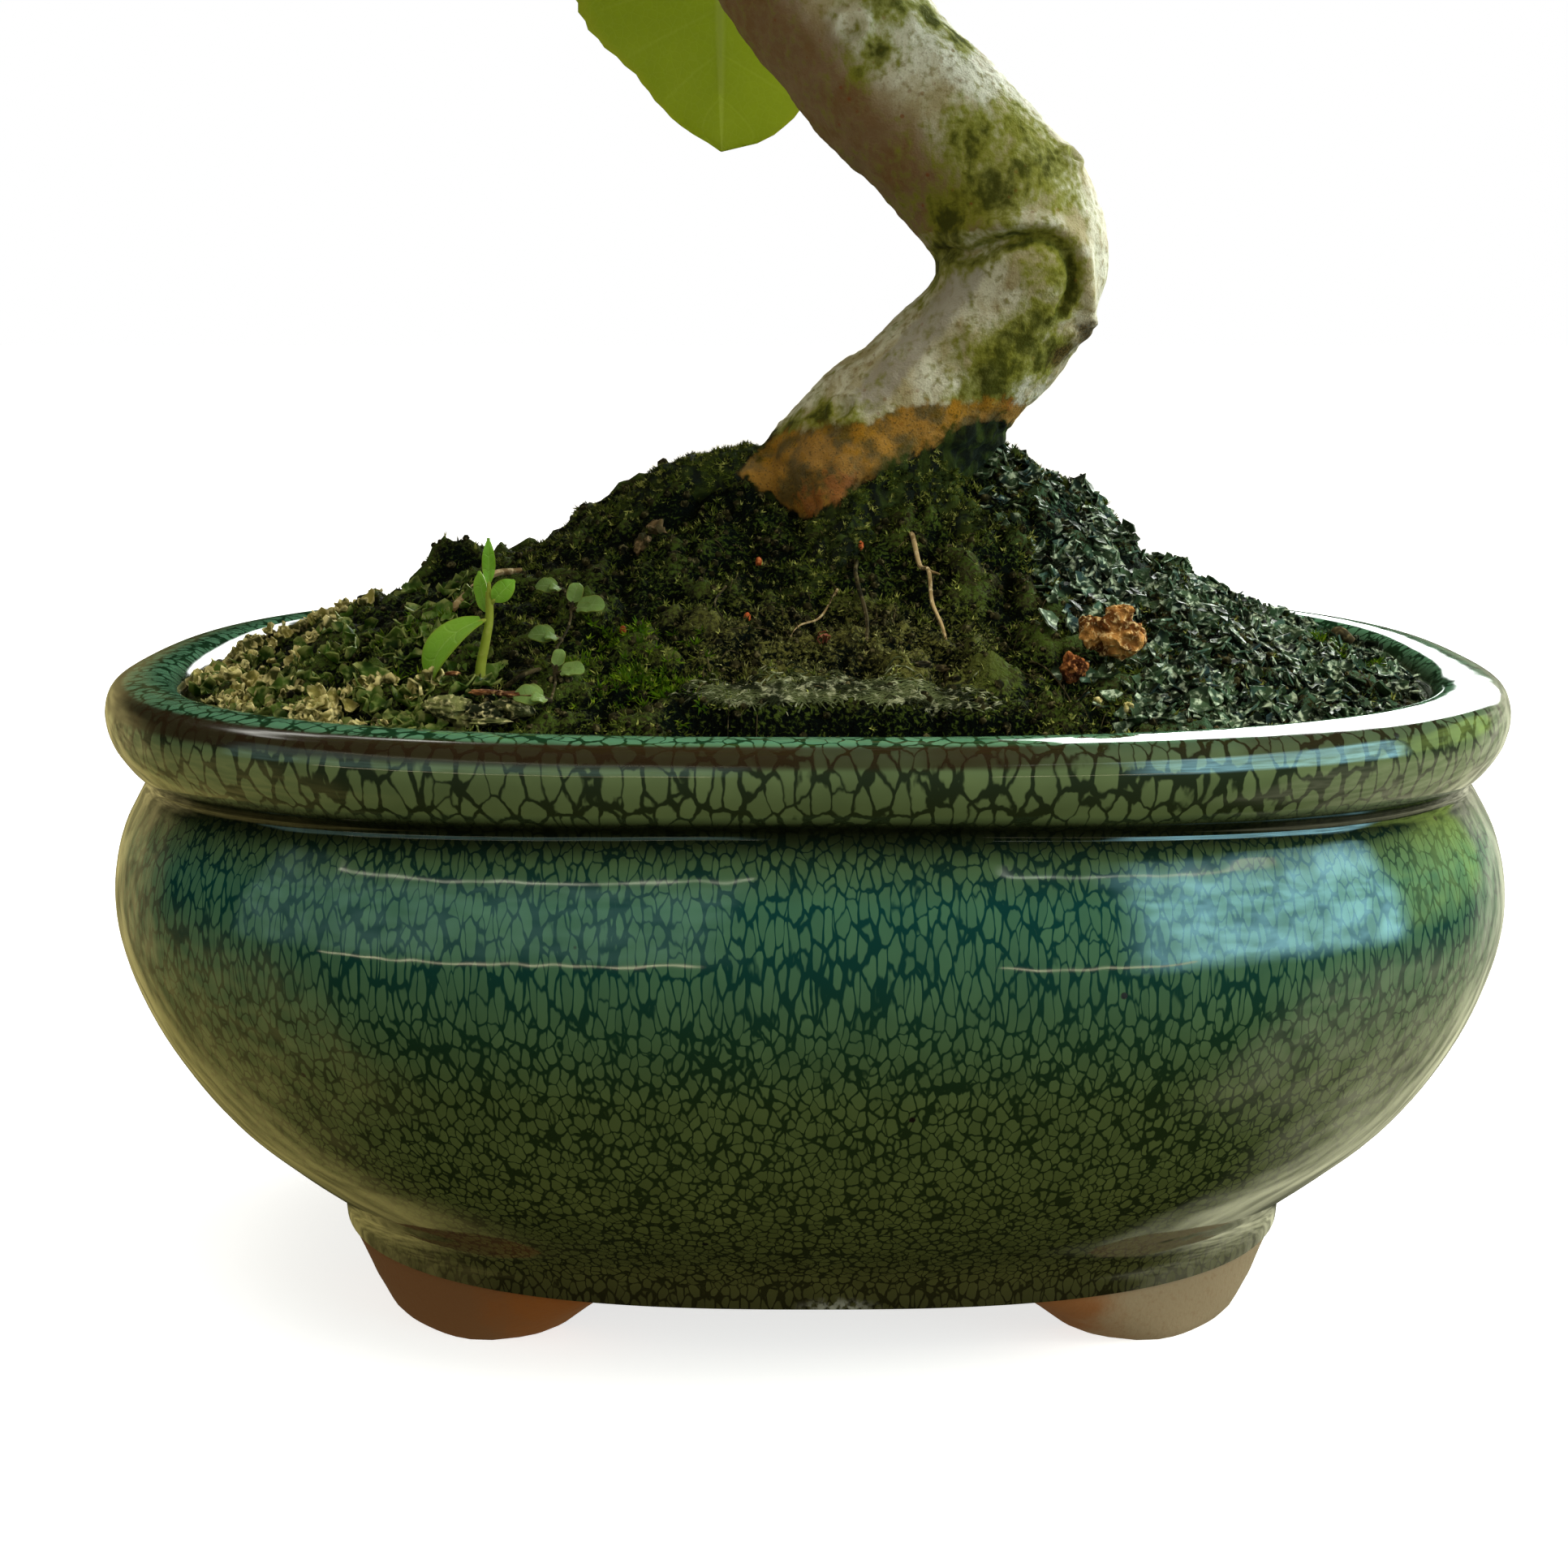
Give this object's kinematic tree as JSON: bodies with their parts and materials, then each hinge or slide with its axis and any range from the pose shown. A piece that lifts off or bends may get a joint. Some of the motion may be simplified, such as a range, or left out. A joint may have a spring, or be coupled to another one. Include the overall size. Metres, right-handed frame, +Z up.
{
  "type": "apple bonsai",
  "caption": "Apple bonsai with an S-bent grey trunk and a leafy, fruiting crown, standing in soil in a green glazed oval pot on low feet.",
  "frame": {"origin": "on the ground under the middle of the whole plant's box", "axes": "+Z up; -Y towards the side that the picture shows, which is a long side of the pot; +X to the right of that side"},
  "size_m": [0.3602, 0.312, 0.4491],
  "materials": {
    "glaze": "gloss",
    "screen_mesh": "matte",
    "soil": "matte",
    "bark": "matte",
    "clay": "matte",
    "weed": "satin",
    "leaf": "satin",
    "fruit": "gloss"
  },
  "bodies": {
    "root": {"pot": "glaze", "drain_screen_left": "screen_mesh", "drain_screen_right": "screen_mesh", "soil": "soil", "trunk": "bark", "clay_lump_large": "clay", "clay_lump_small": "clay", "seedling": "weed", "creeping_weed": "weed", "spray_left_end": "leaf", "spray_left_inner": "leaf", "spray_left_outer": "leaf", "spray_back_left_end": "leaf", "spray_back_left_inner": "leaf", "spray_front_left_end": "leaf", "spray_front_left_inner": "leaf", "spray_right_end": "leaf", "spray_right_inner": "leaf", "spray_right_outer": "leaf", "spray_front_right_end": "leaf", "spray_front_right_inner": "leaf", "spray_back_right_end": "leaf", "spray_back_right_inner": "leaf", "spray_upper_left_end": "leaf", "spray_upper_right_end": "leaf", "spray_low_leaf": "leaf", "spray_top": "leaf", "apple_left": "fruit", "apple_front_left": "fruit", "apple_right": "fruit", "apple_front_right": "fruit", "apple_back": "fruit"}
  },
  "joints": []
}
